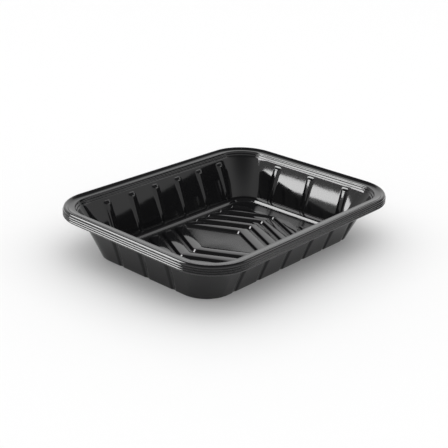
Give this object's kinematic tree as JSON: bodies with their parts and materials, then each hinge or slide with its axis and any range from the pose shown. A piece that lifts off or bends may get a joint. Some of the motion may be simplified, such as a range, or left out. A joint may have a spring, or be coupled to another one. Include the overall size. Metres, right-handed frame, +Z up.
{
  "type": "plastic meat tray",
  "caption": "Deep rectangular thermoformed black plastic tray with a ribbed wall, a broad rolled rim and chevron ridges on its floor, for packing fresh meat.",
  "frame": {"origin": "middle of the underside, on the surface the tray stands on", "axes": "+X along the long side, +Y along the short side, +Z up out of the mouth"},
  "size_m": [0.254, 0.195, 0.0438],
  "materials": {
    "tray_plastic": "gloss black polypropylene sheet"
  },
  "bodies": {
    "root": {"tray": "tray_plastic"}
  },
  "joints": []
}
